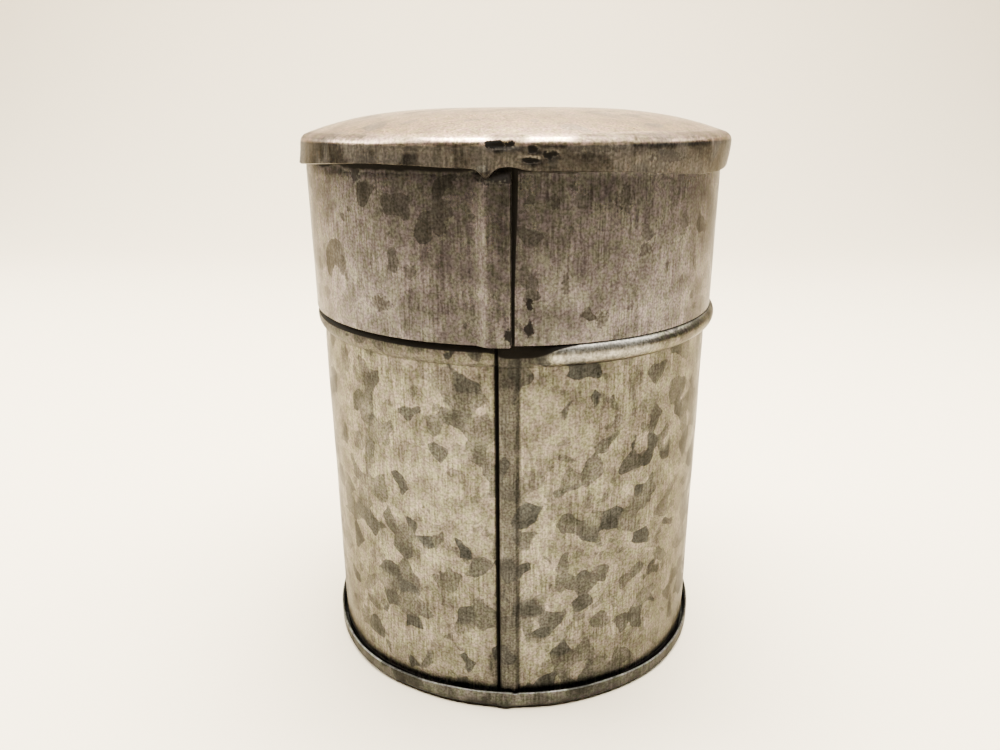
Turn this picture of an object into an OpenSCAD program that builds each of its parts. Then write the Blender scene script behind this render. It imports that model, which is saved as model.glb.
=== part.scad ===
// Round galvanised spice tin with a deep slip-on lid.
// Four pieces of sheet metal: a lock-seamed body wall with a rolled stop bead, a base pan, a
// lock-seamed lid wall, and a crowned lid top whose edge is turned down over the lid wall.
// Origin at the centre of the base, +Z up; the two seams face -Y.

/* [Sheet] */
// Thickness of the galvanised sheet
sheet = 0.35; // [0.25:0.05:0.45]

/* [Body] */
// Outside diameter of the body wall
body_d = 60; // [45:1:90]
// Height of the middle of the stop bead above the table
bead_z = 53.7; // [30:0.1:90]
// How far the stop bead stands out from the body wall
bead_out = 1.05; // [0.8:0.05:1.4]
// Height of the stop bead, crease to crease
bead_h = 3.3; // [2.8:0.1:4.5]
// How far the neck is drawn in from the body wall
neck_in = 0.2; // [0:0.05:0.3]
// Height of the neck above the middle of the bead
neck_h = 20.3; // [10:0.1:22]
// Height of the hem folded inside the neck's mouth
hem_h = 2.5; // [1.5:0.1:4]
// Width of the body's lock seam, from its folded edge to its step
body_seam_w = 2.6; // [2:0.1:5]
// Direction of the body seam's folded edge, in degrees from +X
body_seam_at = -93.8; // [-110:0.1:-80]

/* [Base] */
// Height of the base pan's upturned rim
base_rim_h = 2.9; // [2:0.1:6]
// Clearance between the body seam and the base pan's rim
base_fit = 0.15; // [0.1:0.05:0.5]

/* [Lid] */
// Length of the lid wall, from its lower edge to its top
lid_h = 24.4; // [23:0.1:40]
// Clearance between the neck's seam and the inside of the lid wall
lid_fit = 0.2; // [0.1:0.05:0.4]
// Width of the lid's lock seam, from its folded edge to its step
lid_seam_w = 3.5; // [2.5:0.1:5]
// Direction of the lid seam's folded edge, in degrees from +X
lid_seam_at = -90; // [-110:0.1:-80]
// How far the lid top's rim stands out from the lid wall
rim_out = 1.1; // [1.05:0.05:2]
// Height of the lid top's turned-down rim
rim_h = 3.9; // [2.5:0.1:6]
// Height of the part of the lid wall's edge that is hooked down inside the rim
hook_h = 2.2; // [1.2:0.1:2.3]
// Outside radius of the bend between the lid top and its rim
rim_bend = 1; // [0.8:0.05:1.05]
// Rise of the lid top's crown above its flat margin
crown_h = 3.3; // [1.5:0.1:8]

/* [Hidden] */
$fn = 180;
galvanised = "#a39882";
dark_galvanised = "#8d8472";

// Play left under the lid's lower edge where it rests on the bead
rest_gap = 0.03;
// Play left between the end of the lid seam and the rim above it
seam_end_gap = 0.3;
// Width and depth of the groove beside a seam's folded edge
groove_w = 0.3;
groove_deep = 0.7 * sheet;
// How far a seam's layers run into each other, so that they make one solid
bite = sheet / 10;
// How far the seam's inner layers run on past its folded edge
underlap = 0.8;
// A length that is sure to reach past the whole tin, for cutting
past = 2 * body_d;
// Overshoot of a cut
over = 1;

// The body's radii, all to the outside of the sheet
wall_r = body_d / 2;
neck_r = wall_r - neck_in;
// Radius of the bead's cross-section, from its height and how far it stands out
bead_r = (pow(bead_h / 2, 2) + pow(bead_out, 2)) / (2 * bead_out);
bead_axis_r = wall_r + bead_out - bead_r;
neck_top = bead_z + neck_h;
// The seam's outer and inner layers are notched at the foot and stop under the mouth's round edge
seam_foot = 2 * sheet;
seam_head = neck_top - 2 * sheet;

// The lid wall goes over the neck's seam, which stands one sheet proud
lid_in_r = neck_r + sheet + lid_fit;
lid_out_r = lid_in_r + sheet;
// The lid's inner lower edge rests on the bead's upper slope
lid_z = bead_z + bead_rise(bead_r, lid_in_r) + rest_gap;
lid_top_z = lid_z + lid_h;
rim_r = lid_out_r + rim_out;
// Four layers in a seam: one is the wall's own, and on the lid all the others lie outside it
lid_seam_out = 3 * sheet;
crown_r = rim_r - rim_bend;
// Radius of the ball that the crown is a part of
crown_ball = (pow(crown_r, 2) + pow(crown_h, 2)) / (2 * crown_h);

base_in_r = wall_r + sheet + base_fit;
base_out_r = base_in_r + sheet;
base_bend = base_fit + sheet;

// Height over the bead's middle at which a circle of radius c about its axis is r from the tin's
function bead_rise(c, r) = sqrt(pow(c, 2) - pow(r - bead_axis_r, 2));
// The angle that an arc of this length takes up at this radius
function arc_angle(length, r) = length / r * 180 / PI;

// A rectangle in the revolved section, from radius r0 to r1 and height z0 to z1
module band(r0, r1, z0, z1) {
    translate([r0, z0]) square([r1 - r0, z1 - z0]);
}

// A quarter ring in the revolved section: the bend of one sheet, outside radius r
// side is 1 for a bend that turns up over its centre, -1 for one that turns down under it
module bend(axis_r, z, r, side) {
    translate([axis_r, z]) intersection() {
        difference() {
            circle(r);
            circle(r - sheet);
        }
        translate([0, side > 0 ? 0 : -r]) square(r);
    }
}

// Section of the body's sheet, from the base pan's floor up to the mouth's round edge
module body_section() {
    shell_in = bead_r - sheet;
    wall_end = (bead_rise(bead_r, wall_r) + bead_rise(shell_in, wall_r - sheet)) / 2;
    neck_end = (bead_rise(bead_r, neck_r) + bead_rise(shell_in, neck_r - sheet)) / 2;
    band(wall_r - sheet, wall_r, sheet, bead_z - wall_end);
    band(neck_r - sheet, neck_r, bead_z + neck_end, neck_top - sheet);
    intersection() {
        translate([bead_axis_r, bead_z]) difference() {
            circle(bead_r);
            circle(shell_in);
        }
        union() {
            band(wall_r - sheet, past, bead_z - past, bead_z);
            band(neck_r - sheet, past, bead_z - over / 10, bead_z + past);
        }
    }
}

// The seam's inner layers, which cross the hollow behind the bead straight
module body_inner_section() {
    band(wall_r - 3 * sheet, wall_r - sheet + bite, seam_foot, bead_z);
    band(neck_r - 3 * sheet, neck_r - sheet + bite, bead_z - over, seam_head);
}

// The hem: the sheet folded over inside the mouth, with a round top edge
module hem_section() {
    band(neck_r - 2 * sheet, neck_r, neck_top - hem_h, neck_top - sheet);
    translate([neck_r - sheet, neck_top - sheet]) circle(sheet);
}

// The wall under the bead and the neck over it, between two distances out from their outer
// faces, kept away from the bead's creases by gap
module body_strips(from, to, gap) {
    band(wall_r + from, wall_r + to, seam_foot, bead_z - bead_rise(bead_r, wall_r) - gap);
    band(neck_r + from, neck_r + to, bead_z + bead_rise(bead_r, neck_r) + gap, seam_head);
}

// What its section makes when swept from one direction to another, in degrees from +X
module sweep(from, to) {
    rotate_extrude(angle = to - from, start = from) children();
}

module body_wall() {
    seam_end = body_seam_at + arc_angle(body_seam_w, wall_r);
    inner_end = seam_end - arc_angle(sheet, wall_r);
    inner_at = body_seam_at - arc_angle(underlap, wall_r);
    groove_at = body_seam_at - arc_angle(groove_w, wall_r);
    groove_end = body_seam_at + arc_angle(groove_w, wall_r);
    color(galvanised) {
        difference() {
            rotate_extrude() {
                body_section();
                hem_section();
            }
            sweep(groove_at, groove_end) body_strips(-groove_deep, over, groove_w);
        }
        sweep(inner_at, inner_end) body_inner_section();
        sweep(body_seam_at, seam_end) body_strips(-groove_deep - bite, sheet, 0);
    }
}

module base() {
    bend_axis_r = base_out_r - base_bend;
    color(dark_galvanised) rotate_extrude() {
        band(0, bend_axis_r, 0, sheet);
        bend(bend_axis_r, base_bend, base_bend, -1);
        band(base_in_r, base_out_r, base_bend, base_rim_h);
    }
}

// The lid wall's top: hooked out and down, one sheet inside the lid top's bend
module hook_section() {
    hook_r = rim_r - sheet;
    hook_bend = rim_bend - sheet;
    bend_axis_r = hook_r - hook_bend;
    band(lid_in_r, bend_axis_r, lid_top_z - sheet, lid_top_z);
    bend(bend_axis_r, lid_top_z - hook_bend, hook_bend, 1);
    band(hook_r - sheet, hook_r, lid_top_z - hook_h, lid_top_z - hook_bend);
}

module lid_wall() {
    seam_from = lid_seam_at - arc_angle(lid_seam_w, lid_out_r);
    groove_half = arc_angle(groove_w, lid_out_r);
    seam_top = lid_top_z + sheet - rim_h - seam_end_gap;
    color(galvanised) {
        difference() {
            rotate_extrude() {
                band(lid_in_r, lid_out_r, lid_z, lid_top_z);
                hook_section();
            }
            sweep(lid_seam_at - groove_half, lid_seam_at + groove_half)
                band(lid_out_r - groove_deep, lid_out_r + over, lid_z - over, seam_top);
        }
        sweep(seam_from, lid_seam_at)
            band(lid_out_r - groove_deep - bite, lid_out_r + lid_seam_out, lid_z, seam_top + bite);
    }
}

module lid_top() {
    top = lid_top_z + sheet;
    skirt_in_r = rim_r - sheet;
    color(dark_galvanised) rotate_extrude() {
        intersection() {
            translate([0, top + crown_h - crown_ball]) difference() {
                circle(crown_ball);
                circle(crown_ball - sheet);
            }
            band(0, crown_r, lid_top_z, top + crown_h + over);
        }
        bend(crown_r, top - rim_bend, rim_bend, 1);
        band(skirt_in_r, rim_r, top - rim_h, top - rim_bend);
    }
}

body_wall();
base();
lid_wall();
lid_top();
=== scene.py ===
import math

import bpy
import numpy as np
from mathutils import Matrix, Vector


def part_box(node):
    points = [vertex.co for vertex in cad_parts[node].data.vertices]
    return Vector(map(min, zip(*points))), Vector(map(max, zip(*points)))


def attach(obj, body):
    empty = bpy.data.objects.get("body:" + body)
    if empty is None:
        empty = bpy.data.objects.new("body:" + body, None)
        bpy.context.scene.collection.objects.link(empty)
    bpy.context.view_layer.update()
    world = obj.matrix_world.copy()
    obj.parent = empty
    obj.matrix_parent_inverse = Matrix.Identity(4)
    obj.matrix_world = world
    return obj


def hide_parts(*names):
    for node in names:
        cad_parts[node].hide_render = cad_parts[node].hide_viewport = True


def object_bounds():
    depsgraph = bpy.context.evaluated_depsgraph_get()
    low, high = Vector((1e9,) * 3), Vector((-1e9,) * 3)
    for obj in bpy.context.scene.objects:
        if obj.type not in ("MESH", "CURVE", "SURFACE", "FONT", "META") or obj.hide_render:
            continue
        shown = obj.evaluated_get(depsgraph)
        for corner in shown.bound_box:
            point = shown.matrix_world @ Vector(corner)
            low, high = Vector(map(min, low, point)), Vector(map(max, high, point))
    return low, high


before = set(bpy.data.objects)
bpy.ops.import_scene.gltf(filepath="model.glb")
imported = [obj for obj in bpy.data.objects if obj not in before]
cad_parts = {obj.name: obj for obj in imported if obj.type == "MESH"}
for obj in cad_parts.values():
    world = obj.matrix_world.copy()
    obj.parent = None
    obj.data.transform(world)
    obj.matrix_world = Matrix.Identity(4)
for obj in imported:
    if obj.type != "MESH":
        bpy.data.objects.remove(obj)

# The tin is built in metres from the CAD frame's own boxes. The seams face -Y, and angles are
# in radians from +X. Nothing here is larger than the CAD model's box.
cad_box = [list(corner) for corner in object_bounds()]
mm = 0.001


# ---- Body wall ----------------------------------------------------------------------------
# One strip of galvanised sheet rolled into a tube. Its two ends are hooked into each other and
# pressed flat as a lock seam, a stop bead is rolled into it for the lid, and the neck's edge is
# folded inwards as a hem.

body_low, body_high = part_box("body_wall")
sheet = body_low.z                      # it stands on the base pan's floor, one sheet up
layer = sheet + 0.01 * mm               # from one layer of a seam to the next
bead_out = 1.05 * mm
bead_z = 53.7 * mm
bead_half = 1.65 * mm
neck_in = 0.2 * mm
hem_h = 2.5 * mm
wall_r = body_high.x - bead_out - sheet / 2         # radii are to the middle of the sheet
neck_r = wall_r - neck_in
mouth_z = body_high.z
bead_r = (bead_half ** 2 + bead_out ** 2) / (2 * bead_out) - sheet / 2
bead_axis_r = wall_r + bead_out - bead_r
front = math.radians(-90)
body_fold = front - math.radians(3.8)    # where the seam's folded edge is


def line(x0, y0, x1, y1, count):
    """Points from one place up to, but not including, another."""
    steps = np.linspace(0, 1, count, endpoint=False)
    return [(x0 + (x1 - x0) * k, y0 + (y1 - y0) * k) for k in steps]


def joggle(x0, y0, x1, y1, count=10):
    """The soft step that a sheet makes to go over or under another."""
    steps = np.linspace(0, 1, count, endpoint=False)
    return [(x0 + (x1 - x0) * k, y0 + (y1 - y0) * (1 - math.cos(math.pi * k)) / 2) for k in steps]


def arc(x, y, radius, start, end, count):
    """Points on an arc about x, y, in degrees, without its end."""
    steps = np.radians(np.linspace(start, end, count, endpoint=False))
    return [(x + radius * math.cos(a), y + radius * math.sin(a)) for a in steps]


def lock_seam(cover, inner, under, around, base):
    """A sheet's plan from one hook, round the tin, to the other: (way round, layer) pairs.
    cover is where its outer lap steps down, inner where the hooks turn, under how far before
    the folded edge it dips, base the layer its inner lap lies in (0 flush, -2 pressed in)."""
    nose = layer + sheet / 2
    hook = base + 1
    top = base + 3
    plan = line(inner - 0.05 * mm, hook * layer, nose, hook * layer, 4)
    plan += arc(nose, (hook + 1) * layer, layer, 270, 90, 12)
    plan += line(nose, top * layer, cover[0], top * layer, 6)
    plan += joggle(cover[0], top * layer, cover[1], 0)
    near = 9 * mm                           # points lie closer together this near the seam
    plan += line(cover[1], 0, cover[1] + near, 0, 24)
    plan += line(cover[1] + near, 0, around - under - near, 0, 170)
    plan += line(around - under - near, 0, around - under, 0, 24)
    plan += joggle(around - under, 0, around, base * layer)
    plan += line(around, base * layer, around + inner, base * layer, 6)
    plan += arc(around + inner, hook * layer, layer, -90, 90, 12)
    plan += line(around + inner, (hook + 1) * layer, around + nose, (hook + 1) * layer, 5)
    return np.array(plan)


def unit(vector):
    """The same direction, made one long."""
    return vector / max(np.linalg.norm(vector), 1e-12)


def sheet_mesh(name, middle, closed=False):
    """A mesh one sheet thick about the grid of points middle[way round, way up].
    closed joins the last way round to the first and draws the first row up to one point."""
    if closed:
        around = np.gradient(np.concatenate([middle[-1:], middle, middle[:1]]), axis=0)[1:-1]
    else:
        around = np.gradient(middle, axis=0)
    up = np.gradient(middle, axis=1)
    normal = np.cross(around, up)
    if closed:
        normal[:, 0] = normal[:, 1].mean(axis=0)
    normal /= np.linalg.norm(normal, axis=2, keepdims=True)
    wide, high = middle.shape[:2]
    index = np.arange(wide * high).reshape(wide, high)
    other = wide * high
    if closed:
        index[:, 0] = index[0, 0]
        index = np.concatenate([index, index[:1]])
    quads = np.stack([index[:-1, :-1], index[1:, :-1], index[1:, 1:], index[:-1, 1:]], axis=2)
    quads = quads.reshape(-1, 4)
    faces = quads.tolist() + (quads[:, ::-1] + other).tolist()

    # The cut edge: a row of points between the two faces, pushed out a little to round it
    if closed:
        edge = [(i, high - 1) for i in range(wide, 0, -1)]
    else:
        edge = [(i, 0) for i in range(wide)] + [(wide - 1, j) for j in range(1, high)]
        edge += [(i, high - 1) for i in range(wide - 2, -1, -1)]
        edge += [(0, j) for j in range(high - 2, 0, -1)]
    rounded = []
    for i, j in edge:
        k = i % wide
        out = unit(up[k, j]) * (j == high - 1) - unit(up[k, j]) * (j == 0)
        if not closed:
            out = out + unit(around[k, j]) * (i == wide - 1) - unit(around[k, j]) * (i == 0)
        rounded.append(middle[k, j] + unit(out) * sheet * 0.25)
    points = np.concatenate([(middle + normal * sheet / 2).reshape(-1, 3),
                             (middle - normal * sheet / 2).reshape(-1, 3), rounded])
    for k, place in enumerate(edge):
        after = (k + 1) % len(edge)
        a, b = index[place], index[edge[after]]
        c, d = 2 * other + k, 2 * other + after
        faces += [[b, a, c, d], [d, c, a + other, b + other]]

    faces = [[v for k, v in enumerate(face) if v != face[k - 1]] for face in faces]
    used, flat = np.unique(np.concatenate(faces), return_inverse=True)
    ends = np.cumsum([len(face) for face in faces])
    mesh = bpy.data.meshes.new(name)
    mesh.from_pydata(points[used].tolist(), [], [f.tolist() for f in np.split(flat, ends[:-1])])
    mesh.shade_smooth()
    mesh.set_sharp_from_angle(angle=math.radians(50))
    piece = bpy.data.objects.new(name, mesh)
    bpy.context.scene.collection.objects.link(piece)
    return piece


def hump(value, at, width):
    """1 at a place, falling smoothly to nothing round it."""
    return np.exp(-((value - at) / width) ** 2)


def window(value, low, inner_low, inner_high, high):
    """1 between the inner limits, falling smoothly to nothing at the outer ones."""
    rise = np.clip((value - low) / (inner_low - low), 0, 1)
    fall = np.clip((high - value) / (high - inner_high), 0, 1)
    return rise ** 2 * (3 - 2 * rise) * fall ** 2 * (3 - 2 * fall)


def across(angle, radius):
    """Millimetres round the tin from its front, to the right."""
    return ((angle - front + math.pi) % (2 * math.pi) - math.pi) * radius / mm


def dented(across_mm, height, dents):
    """The sum of dents and bumps, each (across, height, half width, half height, out)."""
    return mm * sum(out * hump(across_mm, at, wide) * hump(height / mm, up, tall)
                    for at, up, wide, tall, out in dents)


def waves(angle, height, seed):
    """Hand-rolled unevenness between about -1 and 1, the same on both sides of the seam."""
    rng = np.random.default_rng(seed)
    total = 0
    for turns in (2, 3, 5, 8, 13):
        lift = rng.uniform(0.2, 1.2) * turns / (20 * mm)
        total = total + np.sin(turns * angle + lift * height + rng.uniform(0, 6)) / turns ** 0.5
    return total / 2


def rolled(plan, profile, fold, radius, turn, shape):
    """The grid of points of a rolled sheet: plan round the tin, profile up it. turn is 1 or -1
    for the way it is folded. shape gives what is added to the radius, from layer, angle, radius
    and height."""
    way, level = plan[:, :1], plan[:, 1:]
    r, z = profile[:, 0][None], profile[:, 1][None]
    angle = fold + turn * way / radius
    reach = r + level + shape(level, angle, r, z)
    return np.stack([reach * np.cos(angle), reach * np.sin(angle), z + 0 * reach], axis=2)


body_round = 2 * math.pi * wall_r
body_plan = lock_seam(cover=(2.1 * mm, 3.2 * mm), inner=1.85 * mm, under=0.85 * mm,
                      around=body_round, base=-2)
crease_low = math.degrees(math.acos((wall_r - bead_axis_r) / bead_r))
crease_high = math.degrees(math.acos((neck_r - bead_axis_r) / bead_r))
hem_r = layer / 2
hem_z = mouth_z - sheet / 2 - hem_r
body_profile = line(wall_r, body_low.z, wall_r, bead_z - bead_half, 44)
body_profile += arc(bead_axis_r, bead_z, bead_r, -crease_low, crease_high, 18)
body_profile += line(neck_r, bead_z + bead_half, neck_r, hem_z, 18)
body_profile += arc(neck_r - hem_r, hem_z, hem_r, 0, 180, 8)
body_profile += line(neck_r - 2 * hem_r, hem_z, neck_r - 2 * hem_r, mouth_z - hem_h, 3)


def body_shape(level, angle, r, z):
    """The bead pressed in at the seam, and the wall under it out of round and knocked."""
    side = across(angle, wall_r)
    beaded = np.clip((r - wall_r) / bead_out, 0, 1)
    pressed = 0.75 * window(side, -2.8, -0.6, 1.8, 6.0) + 0.3 * window(side, -30, -20, -3, -0.5)
    flat = -0.75 * layer * hump(side, -0.7, 3.0) * hump(z, bead_z, 2.4 * mm)
    below = z < bead_z + bead_half
    uneven = 0.09 * mm * waves(angle, z, 3) * below
    crease = -0.1 * mm * hump(z, bead_z - 2.1 * mm, 0.7 * mm)
    knocks = dented(side, z, ((-3.4, 51.0, 0.5, 0.35, 0.16), (-1.6, 50.7, 0.35, 0.3, 0.14),
                              (-6.5, 49.0, 1.6, 1.0, -0.12), (5.0, 50.6, 2.6, 1.0, 0.1),
                              (9.0, 49.5, 3.0, 1.4, -0.1), (-14, 30, 6, 9, -0.1),
                              (12, 18, 7, 8, -0.12), (16, 40, 5, 6, 0.08)))
    fuller = 0.22 * np.cos(angle)           # the bead stands out more at the right
    corners = 0.6 * mm * (hump(side, -24, 13) + hump(side, 24, 13))
    squared = (corners - 0.25 * mm * hump(np.abs(side), 47, 12)) * hump(z, 0, 14 * mm)
    return flat + (fuller - pressed) * beaded * bead_out + uneven + crease + squared + knocks


body_wall = sheet_mesh("body_wall_sheet", rolled(
    body_plan, np.array(body_profile), body_fold, wall_r, 1, body_shape))


class Value:
    """A node's output that can be used in a Python expression."""

    def __init__(self, finish, socket):
        self.finish, self.socket = finish, socket

    def __add__(self, other):
        return self.finish.maths("ADD", self, other)

    def __sub__(self, other):
        return self.finish.maths("SUBTRACT", self, other)

    def __rsub__(self, other):
        return self.finish.maths("SUBTRACT", other, self)

    def __mul__(self, other):
        return self.finish.maths("MULTIPLY", self, other)

    __radd__ = __add__
    __rmul__ = __mul__


class Finish:
    """A material and the nodes added to it."""

    def __init__(self, name):
        self.material = bpy.data.materials.new(name)
        self.material.use_nodes = True
        self.tree = self.material.node_tree
        self.tree.nodes.clear()

    def node(self, kind, settings, sockets, out=0):
        """Adds a node: its settings first, then the values or links of its sockets."""
        made = self.tree.nodes.new("ShaderNode" + kind)
        for name, value in settings.items():
            setattr(made, name, value)
        for name, value in sockets.items():
            if isinstance(value, Value):
                self.tree.links.new(value.socket, made.inputs[name])
            else:
                made.inputs[name].default_value = value
        return Value(self, made.outputs[out]) if made.outputs else None

    def maths(self, operation, *values):
        return self.node("Math", {"operation": operation}, dict(enumerate(values)))

    def mix(self, amount, first, second):
        """One colour over another."""
        return self.node("Mix", {"data_type": "RGBA"}, {0: amount, 6: first, 7: second}, 2)

    def tint(self, colour, value):
        """A colour made lighter or darker by a value."""
        grey = self.node("CombineXYZ", {}, {0: value, 1: value, 2: value})
        return self.node("VectorMath", {"operation": "MULTIPLY"}, {0: colour, 1: grey})

    def between(self, value, low, high, to_low=0.0, to_high=1.0):
        """Smoothly from one value to another as value goes from low to high."""
        return self.node("MapRange", {"interpolation_type": "SMOOTHSTEP"},
                         {0: value, 1: low, 2: high, 3: to_low, 4: to_high})

    def noise(self, place, scale, detail=2.0):
        return self.node("TexNoise", {}, {"Vector": place, "Scale": scale, "Detail": detail})

    def stretched(self, place, scale):
        return self.node("VectorMath", {"operation": "MULTIPLY"}, {0: place, 1: scale})


class Zinc(Finish):
    """Aged galvanised sheet. Crystals of zinc show as darker leaves with soft edges, the rolled
    sheet as fine upright streaks, and years of handling as a soft brownish mottle. Folds, gaps
    and dents are blackened, partly with dirt and partly with painted shade. Lengths in it are in
    millimetres. light and dark are the colours of the ground and the leaves, covered the share
    of large leaves, per_mm how closely they lie."""

    def __init__(self, name, light, dark, covered, per_mm, seed):
        super().__init__(name)
        where = self.node("TexCoord", {}, {}, "Object")
        place = self.stretched(where, (1 / mm,) * 3)
        self.x, self.y, self.z = (self.node("SeparateXYZ", {}, {0: place}, k) for k in range(3))
        sheet_place = self.node("VectorMath", {"operation": "ADD"},
                                {0: place, 1: (seed, 0, -seed)})

        # Large and small crystals, their edges bent, and more of them in some places
        wander = self.node("TexNoise", {}, {"Vector": sheet_place, "Scale": 0.34, "Detail": 1.0}, 1)
        bent = self.node("VectorMath", {"operation": "MULTIPLY_ADD"},
                         {0: wander, 1: (2.0, 2.0, 2.0), 2: sheet_place})
        crowd = self.noise(sheet_place, 0.09, 0.0)
        big = self.leaves(bent, per_mm, 1 - covered, crowd)
        small = 0.6 * self.leaves(bent, per_mm * 2, 1 - covered * 0.4, crowd)
        self.leaf = self.maths("MAXIMUM", big, small)

        # Mottle, grain, streaks that show in some places, and a warm and a green ground
        self.mottle = self.noise(sheet_place, 0.3, 4.0)
        self.grain = self.noise(sheet_place, 3.2, 3.0)
        self.streak = self.noise(self.stretched(sheet_place, (3.2, 3.2, 0.25)), 1.0, 4.0)
        combed = self.between(self.noise(sheet_place, 0.13, 1.0), 0.4, 0.58, 0.5, 1)
        self.warm = self.between(self.noise(sheet_place, 1.1, 3.0), 0.36, 0.64)
        green = tuple(c * k for c, k in zip(light, (0.96, 1.01, 0.86))) + (1,)
        mauve = tuple(c * k for c, k in zip(light, (1.06, 0.97, 1.04))) + (1,)
        ground = self.mix(self.warm, mauve, green)
        self.colour = self.mix(self.leaf, ground, dark + (1,))
        self.shade = (self.between(self.mottle, 0.3, 0.7, 0.68, 1.25)
                      * (1 + combed * self.between(self.streak, 0.3, 0.7, -0.38, 0.28))
                      * self.between(self.grain, 0.3, 0.7, 0.58, 1.34))
        self.dirt_and_shade, self.dull = None, 0

    def leaves(self, place, scale, least, crowd):
        """Darkness of each crystal: 0 for most, and from 0.4 to 1 for the rest."""
        cell = self.node("TexVoronoi", {"feature": "SMOOTH_F1"},
                         {"Vector": place, "Scale": scale, "Smoothness": 0.3}, 1)
        red = self.node("SeparateColor", {}, {0: cell}, 0)
        green = self.node("SeparateColor", {}, {0: cell}, 1)
        chance = red + (crowd - 0.5) * 0.25
        return self.between(chance, least - 0.04, least + 0.05) * (green * 0.6 + 0.4)

    def window(self, value, low, inner_low, inner_high, high):
        """1 between the inner limits, falling to 0 at the outer ones."""
        return self.between(value, low, inner_low) * self.between(value, inner_high, high, 1, 0)

    def spot(self, x, z, wide, tall):
        """1 in an oval place on the front, falling to 0 past its edge."""
        far_x, far_z = (self.x - x) * (1 / wide), (self.z - z) * (1 / tall)
        ragged = (self.grain - 0.5) * 2.2 + (self.warm - 0.5) * 1.2
        return (self.between(far_x * far_x + far_z * far_z + ragged, 0.7, 1.7, 1, 0)
                * self.between(self.y, 0, -1))

    def blacken(self, amount):
        """Blackens the sheet where amount is up to 1, for dirt and for painted shade."""
        self.dirt_and_shade = amount if self.dirt_and_shade is None else self.maths("MAXIMUM", self.dirt_and_shade, amount)

    def finish(self, piece, slot, rough):
        """Joins the nodes to the shader and puts the material on the piece; slot is not used."""
        roughness = (self.between(self.mottle, 0.3, 0.7, rough + 0.04, rough - 0.04)
                     + self.leaf * 0.06 + self.streak * 0.06 + self.dull)
        relief = self.streak * 0.6 + self.grain * 0.3 - self.leaf * 0.4
        bare = 1 - self.dirt_and_shade
        bump = self.node("Bump", {}, {"Strength": 0.3, "Distance": 0.03 * mm, "Height": relief})
        metal = self.node("BsdfPrincipled", {}, {
            "Base Color": self.mix(self.dirt_and_shade, self.tint(self.colour, self.shade), soot_and_shade),
            "Metallic": bare, "Roughness": roughness * bare + 0.8 * self.dirt_and_shade,
            "Specular IOR Level": 0.12, "Specular Tint": (0.6, 0.58, 0.54, 1), "Normal": bump})
        self.node("OutputMaterial", {}, {"Surface": metal})
        piece.data.materials.append(self.material)


# Black for dirt, and for painted shade in gaps, folds and dents
soot_and_shade = (0.004, 0.0035, 0.003, 1)
# A pale zinc for the bead's painted highlight, where it is also worn
rubbed_highlight_zinc = (0.72, 0.7, 0.64, 1)
seam_grey = (0.075, 0.074, 0.07, 1)
zinc = Zinc("body_galvanised", light=(0.156, 0.148, 0.122), dark=(0.038, 0.039, 0.037),
            covered=0.38, per_mm=0.35, seed=11)

# Places on the front, from the tin's own x, y and z: the seam's folded edge, lap and soft step
before = zinc.between(zinc.y, 0, -8)
facing = zinc.between(zinc.y, -27, -28.5)
fold = zinc.window(zinc.x, -2.6, -2.3, -1.95, -1.8) * facing
cover = zinc.window(zinc.x, -2.1, -1.9, 0.7, 1.1) * facing
step_shade = zinc.window(zinc.x, 0.1, 0.4, 0.6, 1.0) * facing

# Blackened: painted shade in the gap under the lid, in the gap behind the base's rim (with dirt)
# and along the seam's folded edge; the bead darker in mottled patches at its left; and dirt
# smudges under the bead and beside the seam
gap_low = (54.15 - 0.8 * zinc.window(zinc.x, -3.5, -0.5, 1.8, 6.0) * before
           + 0.8 * zinc.between(zinc.x, 2.5, 9.0))
under_lid_shade = zinc.between(zinc.z - gap_low, -0.12, 0.12) * zinc.between(zinc.z, 56, 58, 1, 0)
base_gap_shade = zinc.between(zinc.z + zinc.mottle * 0.6, 2.2, 2.5, 1, 0)
on_bead = (zinc.window(zinc.z, 51.8, 52.4, 54.4, 54.8) * zinc.between(zinc.x, 2, 6, 1, 0)
           * zinc.between(zinc.mottle, 0.3, 0.65, 0.5, 1) * before)
smudge = (zinc.window(zinc.z, 48.5, 50.2, 50.8, 51.6) * zinc.window(zinc.x, -8, -4, 3, 8)
          * facing * zinc.between(zinc.mottle, 0.4, 0.6))
beside = (zinc.window(zinc.x, -5.5, -2.6, -1.9, -1.8) * facing
          * zinc.between(zinc.z, 38, 8, 0.15, 1) * zinc.between(zinc.mottle, 0.4, 0.62))
for amount in (fold, under_lid_shade, base_gap_shade, 0.4 * on_bead, 0.45 * smudge, 0.5 * beside):
    zinc.blacken(amount)

# The bead's upper slope at the right is painted light: a painted highlight, with some wear where
# the lid rubs. The seam's lap is duller than the wall, its soft step has painted shade, and the
# wall has painted shade towards its right
rubbed_highlight = (zinc.window(zinc.z, 52.2, 54.3, 54.9, 55.3) * zinc.window(zinc.x, 3.5, 6.5, 14, 20)
          * before)
zinc.colour = zinc.mix(0.8 * rubbed_highlight, zinc.colour, rubbed_highlight_zinc)
zinc.colour = zinc.mix(0.6 * cover, zinc.colour, seam_grey)
zinc.shade = (zinc.shade * (1 - 0.38 * cover) * (1 - 0.5 * step_shade)
              * (1 - 0.25 * zinc.between(zinc.x, 0, 9)))
zinc.finish(body_wall, "body_sheet", 0.33)
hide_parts("body_wall")
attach(body_wall, "tin")


# ---- Base pan -----------------------------------------------------------------------------
# A disc of the same sheet with its edge turned up round the foot of the wall. Its rim stands
# off the wall by different amounts, most at the two front corners, and its cut edge is uneven.

base_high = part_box("base")[1]
base_bend = 0.75 * mm
base_r = base_high.x - sheet / 2
base_profile = line(0, sheet / 2, base_r - base_bend, sheet / 2, 26)
base_profile += arc(base_r - base_bend, sheet / 2 + base_bend, base_bend, -90, 0, 8)
base_profile += line(base_r, sheet / 2 + base_bend, base_r, base_high.z, 8)
base_profile.append((base_r, base_high.z))
top_reach = cad_box[1][0] - sheet / 2     # nothing stands further out than the lid's rim


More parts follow.
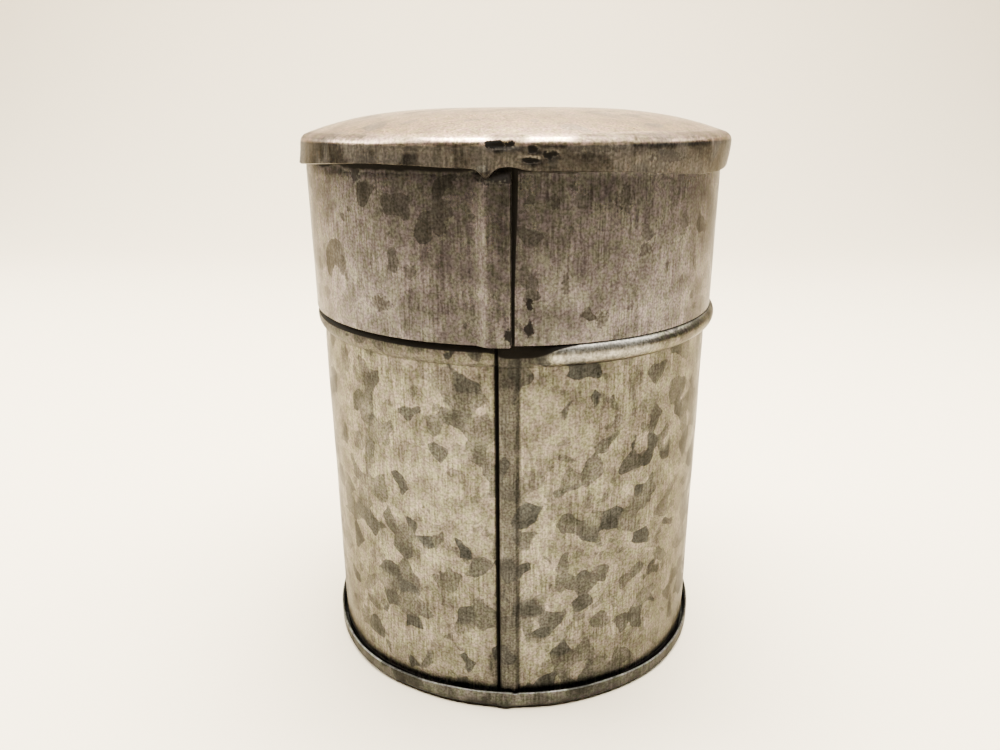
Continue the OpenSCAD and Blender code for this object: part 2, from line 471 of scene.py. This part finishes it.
def dished(profile, count, shape):
    """The grid of points of a round piece, from its middle out along its profile, closest
    together at the front. shape turns angle, radius and height into new radii and heights."""
    turn = np.linspace(-1, 1, count, endpoint=False)[:, None]
    angle = front + math.pi * (0.35 * turn + 0.65 * turn ** 3)
    r, z = shape(angle, profile[:, 0][None] + 0 * angle, profile[:, 1][None] + 0 * angle)
    return np.stack([r * np.cos(angle), r * np.sin(angle), z], axis=2)


def base_shape(angle, r, z):
    """The rim standing off the wall, its knocks, and its lower, nicked places."""
    side = across(angle, base_r)
    rim = np.clip((r - base_r + 3 * mm) / (3 * mm), 0, 1)
    tall = np.clip((z - sheet) / (base_high.z - sheet), 0, 1)
    corners = hump(side, -25, 15) + hump(side, 25, 15)
    stand = 0.2 * hump(side, 0, 14) + 0.8 * corners - 0.1 + 0.1 * waves(angle, 0, 5)
    stand = stand - 0.2 * hump(np.abs(side), 47, 12)
    knocks = dented(side, z, ((-1.2, 0.5, 1.0, 0.7, 0.32), (-16, 1.2, 4, 1.2, -0.1),
                              (14, 1.5, 6, 1.2, -0.12), (-6, 2.2, 2.0, 0.8, 0.08)))
    r = r + rim * mm * stand + rim * knocks
    lower = 0.12 * (1 + waves(angle * 2, 0, 8)) + 0.45 * corners + 0.22 * hump(side, 0.2, 0.45)
    return np.minimum(r, top_reach), np.maximum(z - tall * lower * mm, sheet / 2)


base_pan = sheet_mesh("base_pan", dished(np.array(base_profile), 400, base_shape), closed=True)
zinc = Zinc("base_galvanised", light=(0.077, 0.078, 0.072), dark=(0.03, 0.03, 0.027),
            covered=0.3, per_mm=0.4, seed=29)

# Painted shade, with dirt, in the gap behind the rim and in the corner of the floor inside the tin;
# and dirt along the foot of its rim
radius = zinc.maths("SQRT", zinc.x * zinc.x + zinc.y * zinc.y)
inside = zinc.between(radius - 0.62 * zinc.between(zinc.y, -8, -26), 30.2, 30.45, 1, 0)
zinc.blacken(inside * zinc.between(radius, 26, 29) * zinc.between(zinc.z, 0.3, 0.5))
zinc.blacken(0.8 * zinc.between(zinc.z + zinc.mottle * 1.6, 0.9, 2.1, 1, 0)
          * zinc.between(radius, 30.1, 30.4))
zinc.finish(base_pan, "base_sheet", 0.42)
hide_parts("base")
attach(base_pan, "tin")


# ---- Lid wall -----------------------------------------------------------------------------
# A second strip, rolled and lock-seamed like the body but folded the other way. The seam's
# layers lie outside it, so that it slides over the neck. Its top edge is hooked outwards.

lid_low, lid_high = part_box("lid_wall")
hook_out = 0.75 * mm                      # how far the box reaches past the wall, for the hook
lid_r = lid_high.x - hook_out - sheet / 2
hook_bend = 0.21 * mm
hook_h = 2.2 * mm
notch_h = 4.2 * mm                        # the seam is thinned this far under the wall's top
notch_ease = 1.2 * mm
lid_top_z = lid_high.z - sheet / 2
lid_fold = front - math.radians(0.5)
lid_round = 2 * math.pi * lid_r
lid_plan = lock_seam(cover=(2.5 * mm, 4.8 * mm), inner=2.3 * mm, under=0.5 * mm,
                     around=lid_round, base=-0.25)
lid_profile = line(lid_r, lid_low.z, lid_r, lid_top_z - hook_bend, 60)
lid_profile += arc(lid_r + hook_bend, lid_top_z - hook_bend, hook_bend, 180, 0, 8)
lid_profile += line(lid_r + 2 * hook_bend, lid_top_z - hook_bend,
                    lid_r + 2 * hook_bend, lid_top_z - hook_h, 4)


def lid_shape(level, angle, r, z):
    """The wall a little uneven and set to the left, and its seam thinned under the rim."""
    wave = 0.05 * mm * waves(angle, z, 7) * (1 - hump(z, lid_low.z, 3 * mm))
    notched = np.clip((z - lid_top_z + notch_h) / notch_ease, 0, 1)
    leaning = -0.15 * mm * np.cos(angle)
    return wave + leaning * (1 - notched) - 0.8 * np.maximum(level, 0) * notched


lid_wall = sheet_mesh("lid_wall_sheet", rolled(
    lid_plan, np.array(lid_profile), lid_fold, lid_r, -1, lid_shape)[::-1])
old_leaf = (0.05, 0.047, 0.043, 1)
zinc = Zinc("lid_galvanised", light=(0.117, 0.11, 0.111), dark=(0.046, 0.045, 0.045),
            covered=0.1, per_mm=0.4, seed=47)

# Blackened: painted shade in the seam's joint, which widens upwards, and under the rim; and a few
# small dirt marks, the widest of them, at the seam, painted shade in the hollow under the rim's
# lip. Marks are each (across, height, half width, half height).
dirt_and_shade_marks = ((2.0, 60.3, 0.4, 0.7), (1.9, 57.2, 0.5, 0.9), (-19.5, 75.6, 0.6, 1.3),
              (-0.5, 56.5, 0.5, 0.8), (-1.9, 75.6, 2.0, 0.9))
facing = zinc.between(zinc.y, -29, -30)
groove_end = 0.15 + 0.42 * zinc.between(zinc.z, 60, 77)
zinc.blacken(zinc.between(zinc.x, -0.3, -0.2) * zinc.between(zinc.x - groove_end, -0.08, 0.08, 1, 0)
          * facing)
zinc.blacken(zinc.between(zinc.z + zinc.mottle * 1.6, 76.4, 77.0))
for mark in dirt_and_shade_marks:
    zinc.blacken(0.9 * zinc.spot(*mark))

# Single leaves, then broad tones: the seam's lap darker, its soft step lighter as a painted
# highlight, and painted reflection, lighter at the left and right and darker across the middle
lone_leaves = ((-17, 59.4, 1.2, 0.9), (13.3, 72.5, 0.9, 1.5), (16.5, 66.3, 0.8, 0.8),
               (11, 58.0, 0.8, 1.0), (6.3, 62.6, 0.4, 1.3), (-12.6, 63.9, 0.7, 0.8),
               (-8.7, 69.6, 0.8, 1.0))
for mark in lone_leaves:
    zinc.leaf = zinc.maths("MAXIMUM", zinc.leaf, 0.8 * zinc.spot(*mark))
cover = zinc.window(zinc.x, -3.3, -3.0, -0.3, -0.2) * facing
step_highlight = zinc.window(zinc.x, -4.3, -3.7, -3.3, -2.9) * facing
zinc.colour = zinc.mix(zinc.leaf, zinc.colour, old_leaf)
zinc.shade = (zinc.shade * (1 - 0.12 * cover) * (1 + 0.35 * step_highlight)
              * (1 + 0.4 * zinc.between(zinc.x, -16, -26))
              * (1 + 0.12 * zinc.between(zinc.x, 12, 22))
              * (1 - 0.27 * zinc.window(zinc.x, -17, -9, -2, 8)))
zinc.finish(lid_wall, "lid_sheet", 0.26)
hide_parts("lid_wall")
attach(lid_wall, "lid")


# ---- Lid top ------------------------------------------------------------------------------
# A crowned disc with its edge turned down over the lid wall's hook and beaten close. It is
# dented and puckered where it goes over the thick of the seam.

top_low, top_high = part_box("lid_top")
rim_r = top_high.x - sheet / 2
crown_z = top_high.z - sheet / 2
margin_z = lid_high.z + sheet / 2
rim_bend = 1.2 * mm
bulge_room = 0.3 * mm                     # the rim's bulges take this up
crown_meets = 70                          # degrees up the rim's bend, where the crown begins
crown_power = 3.4                         # flat in the middle, and falling fast at the edge
crown_edge = rim_r - bulge_room - rim_bend
skirt_r = crown_edge + rim_bend
bend_z = margin_z - rim_bend
crown_end = crown_edge + rim_bend * math.cos(math.radians(crown_meets))
end_z = bend_z + rim_bend * math.sin(math.radians(crown_meets))
top_profile = [(r, crown_z - (crown_z - end_z) * (r / crown_end) ** crown_power)
               for r in np.linspace(0, crown_end, 40, endpoint=False)]
top_profile += arc(crown_edge, bend_z, rim_bend, crown_meets, 0, 12)
top_profile += line(skirt_r, bend_z, skirt_r, top_low.z, 14)
top_profile.append((skirt_r, top_low.z))
rim_knocks = ((-1.2, 78.85, 1.6, 0.4, -0.3), (2.3, 78.4, 0.7, 0.4, -0.16),
              (4.4, 77.8, 0.7, 0.4, -0.14), (2.1, 77.2, 0.9, 0.35, -0.18),
              (-1.3, 79.5, 2.0, 0.5, 0.14), (-7, 79.4, 4.0, 0.5, 0.1), (4.5, 79.5, 2.2, 0.4, 0.1),
              (9, 78.2, 2.0, 0.8, -0.07), (-13, 77.6, 3.0, 0.9, -0.08), (17, 77.9, 4, 1, 0.08))


def top_shape(angle, r, z):
    """The rim fuller at the right, pulled down into a lip at the seam, pleated and knocked."""
    side = across(angle, rim_r)
    rim = np.clip((r - crown_edge) / rim_bend, 0, 1)
    skirt = np.clip((margin_z - 0.5 * mm - z) / (margin_z - 0.5 * mm - top_low.z), 0, 1)
    right, left = hump(side, 50, 26), hump(side, -50, 24)
    pleats = sum(np.sin(n * angle + n * n) for n in (61, 97, 139, 193)) * 0.008
    out = (0.28 * right - 0.15 * left + skirt ** 2 * (0.4 * left - 0.45 * right)
           + 0.24 * hump(side, -1.4, 2.6) + 0.06 * waves(angle, z, 13) + pleats * skirt
           + 0.22 * skirt ** 3 * hump(side, -3.4, 0.8) - 0.12 * skirt ** 3 * hump(side, -0.6, 1.6))
    r = r + rim * mm * out + rim * dented(side, z, rim_knocks)
    lift = (0.8 * hump(side, -18, 16) - 1.1 * hump(side, 30, 13) - 0.3 * left
            + skirt * (0.4 * hump(side, -0.5, 1.5) - 1.0 * hump(side, -3.2, 0.8))
            + 0.05 * waves(angle * 3, 0, 17))
    folds = 0.04 * hump(side, -1, 12) * (hump(r / mm, 29.6, 0.2) - hump(r / mm, 29.0, 0.2))
    return np.minimum(r, rim_r), z + (skirt * lift + (1 - rim) * folds) * mm


lid_top = sheet_mesh("lid_top_disc", dished(np.array(top_profile), 440, top_shape), closed=True)
shaded_grey = (0.077, 0.077, 0.074, 1)
lip_highlight = (0.35, 0.35, 0.32, 1)
# The crown's bright warm light colour is painted light, for the light its upturned top catches
zinc = Zinc("lid_top_galvanised", light=(0.45, 0.345, 0.255), dark=(0.24, 0.2, 0.165),
            covered=0.15, per_mm=0.4, seed=61)

# Painted shade in the dents and in a wide hollow on the shoulder at the seam; dirt mottled under
# the shoulder and as stains on the rim. Dents and stains are each (across, height, half width,
# half height)
dent_shade = ((-1.4, 79.0, 1.7, 0.4), (2.2, 78.5, 0.6, 0.35), (4.2, 77.9, 0.7, 0.4),
             (2.0, 77.3, 0.9, 0.3))
rim_stains = ((-11.5, 78.6, 3.6, 0.3), (9.5, 78.5, 3.0, 0.45), (18.5, 77.4, 2.5, 0.6),
              (-18, 77.2, 1.5, 0.6))
below = zinc.between(zinc.z, 79.1, 78.7, 0, 1)
hollow = (zinc.window(zinc.x, -2.4, -1.8, -0.3, 0.1) * zinc.window(zinc.z, 78.4, 78.6, 78.9, 79.1)
          * zinc.between(zinc.y, -29, -30))
zinc.blacken(0.85 * hollow)
zinc.blacken(0.5 * below * zinc.between(zinc.mottle, 0.45, 0.7))
for mark in dent_shade:
    zinc.blacken(zinc.spot(*mark))
for mark in rim_stains:
    zinc.blacken(0.6 * zinc.spot(*mark))

# Painted light and shade: the rim below the shoulder and all faces turned down are a painted-shade
# grey, the shoulder is painted dark with two painted highlights, and the lip's edge has a painted
# highlight
edge = zinc.window(zinc.z, 78.9, 79.5, 79.9, 80.3)
lip = 0.5 * zinc.spot(-3.6, 76.4, 0.6, 0.35)
shoulder_highlight = zinc.window(zinc.x, -19, -11, -4, -2) + zinc.window(zinc.x, 1, 2.5, 5.5, 8)
upward = zinc.node("SeparateXYZ", {}, {0: zinc.node("TexCoord", {}, {}, "Normal")}, 2)
shaded_side = zinc.maths("MAXIMUM", below, zinc.between(upward, 0.1, -0.1))
zinc.colour = zinc.mix(0.9 * shaded_side, zinc.colour, shaded_grey)
zinc.colour = zinc.mix(lip, zinc.colour, lip_highlight)
zinc.shade = zinc.shade * (1 + edge * (1.15 * shoulder_highlight - 0.68))
zinc.dull = 0.22 * edge * (1 - shoulder_highlight)
zinc.finish(lid_top, "lid_top_sheet", 0.28)
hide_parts("lid_top")
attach(lid_top, "lid")


# ---- Floor, light and camera --------------------------------------------------------------
# A pale floor that curves up behind the tin, soft lamps, and the view the tin is known by.

floor_front, floor_back = -1.2, 0.35
curve_r = 0.25
backdrop_half, backdrop_top = 1.6, 1.6
backdrop = bpy.data.meshes.new("backdrop")
sweep = [(floor_front, 0.0), (floor_back, 0.0)]
sweep += [(floor_back + curve_r * math.sin(a), curve_r - curve_r * math.cos(a))
          for a in np.linspace(0.1, 1.57, 12)]
sweep.append((floor_back + curve_r, backdrop_top))
corners = [(side * backdrop_half, y, z) for y, z in sweep for side in (-1, 1)]
strips = [(2 * k, 2 * k + 1, 2 * k + 3, 2 * k + 2) for k in range(len(sweep) - 1)]
backdrop.from_pydata(corners, [], strips)
backdrop.shade_smooth()
floor = bpy.data.objects.new("backdrop", backdrop)
bpy.context.scene.collection.objects.link(floor)
paper = Finish("paper")
white = paper.node("BsdfPrincipled", {}, {"Base Color": (0.9, 0.8, 0.62, 1), "Roughness": 0.9})
paper.node("OutputMaterial", {}, {"Surface": white})
backdrop.materials.append(paper.material)


def lamp(name, place, aim, size, power):
    """A round, warm area lamp that shines from a place towards another."""
    light = bpy.data.lights.new(name, "AREA")
    light.shape, light.size, light.energy, light.color = "DISK", size, power, lamp_light
    held = bpy.data.objects.new(name, light)
    held.location = place
    held.rotation_euler = (Vector(aim) - Vector(place)).to_track_quat("-Z", "Y").to_euler()
    bpy.context.scene.collection.objects.link(held)


lamp_light = (1, 0.955, 0.87)
lamp("top_lamp", (0.03, 0.0, 0.33), (0, 0, 0), 0.3, 6.2)
lamp("back_lamp", (0, 0.22, 0.7), (0, 0.52, 0.1), 0.4, 12)
lamp("left_lamp", (-0.38, 0.1, 0.35), (-0.3, 0.1, 0), 0.3, 6.0)
lamp("right_lamp", (0.4, 0.12, 0.35), (0.3, 0.12, 0), 0.3, 3)

world = bpy.data.worlds.new("room")
world.use_nodes = True
sky = world.node_tree.nodes["Background"].inputs
sky["Color"].default_value, sky["Strength"].default_value = (0.9, 0.86, 0.8, 1), 0.06
bpy.context.scene.world = world

camera = bpy.data.objects.new("camera", bpy.data.cameras.new("camera"))
camera.data.lens = 27.5
camera.data.sensor_width = 36
camera.data.clip_start = 0.01
turned, looking_down, tilted = 1.08, 18.83, -0.37       # degrees
camera.matrix_world = (Matrix.Translation((0, -0.121, 0.0822))
                       @ Matrix.Rotation(math.radians(turned), 4, "Z")
                       @ Matrix.Rotation(math.radians(90 - looking_down), 4, "X")
                       @ Matrix.Rotation(math.radians(tilted), 4, "Z"))
bpy.context.scene.collection.objects.link(camera)
bpy.context.scene.camera = camera
